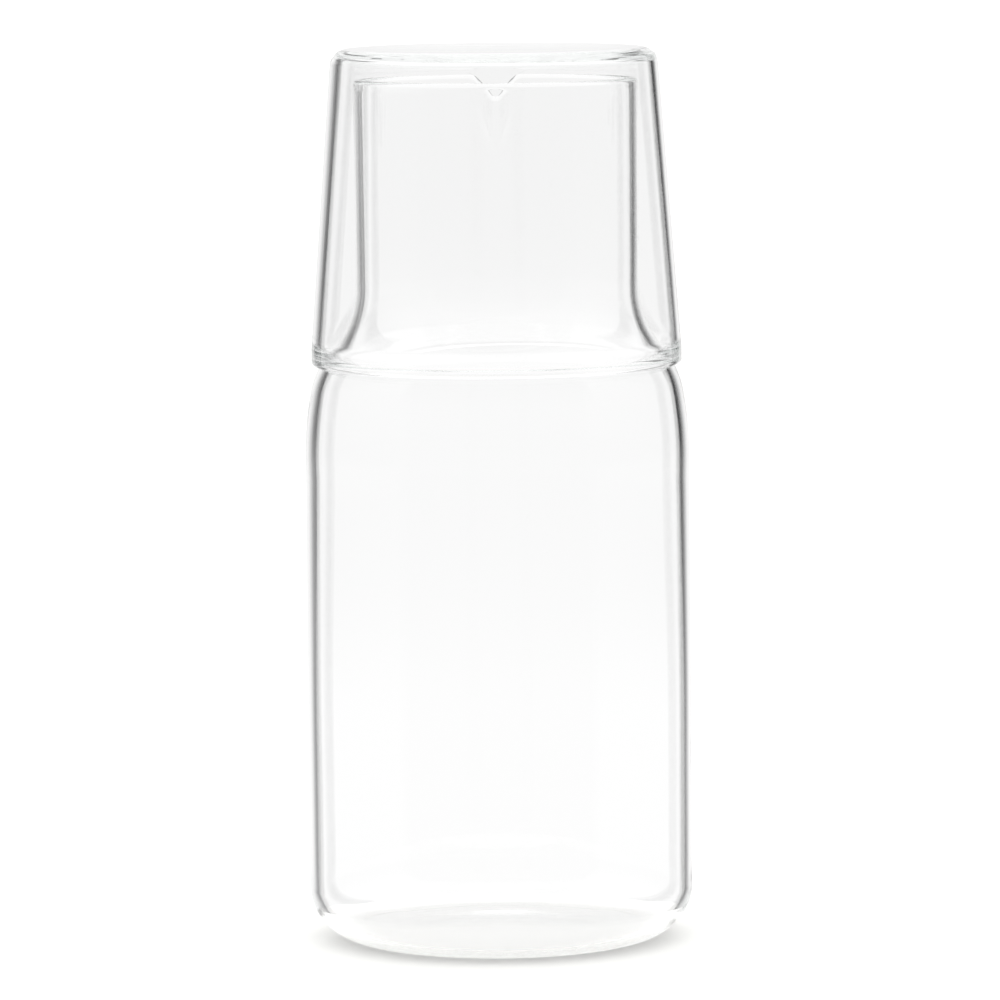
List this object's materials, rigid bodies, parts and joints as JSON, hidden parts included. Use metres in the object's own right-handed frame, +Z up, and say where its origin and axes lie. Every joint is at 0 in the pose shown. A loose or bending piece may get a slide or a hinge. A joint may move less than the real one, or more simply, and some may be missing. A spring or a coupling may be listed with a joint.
{
  "type": "bedside carafe with tumbler",
  "caption": "Clear glass carafe with a straight neck and pulled V spout, covered by a tapered tumbler that rests upside down on its shoulder.",
  "frame": {"origin": "centre of the carafe's standing ring, on the surface it stands on", "axes": "+Z up along the common axis of carafe and tumbler, +Y towards the pouring spout"},
  "size_m": [0.09, 0.09, 0.2089],
  "materials": {
    "carafe_glass": "clear blown borosilicate, fire-polished",
    "tumbler_glass": "clear blown borosilicate, fire-polished"
  },
  "bodies": {
    "carafe": {"carafe": "carafe_glass"},
    "tumbler": {"tumbler": "tumbler_glass"}
  },
  "joints": [
    {"name": "tumbler_lift", "type": "slide", "parent": "carafe", "child": "tumbler", "axis": [0, 0, 1], "range_m": [0, 0.09]}
  ]
}
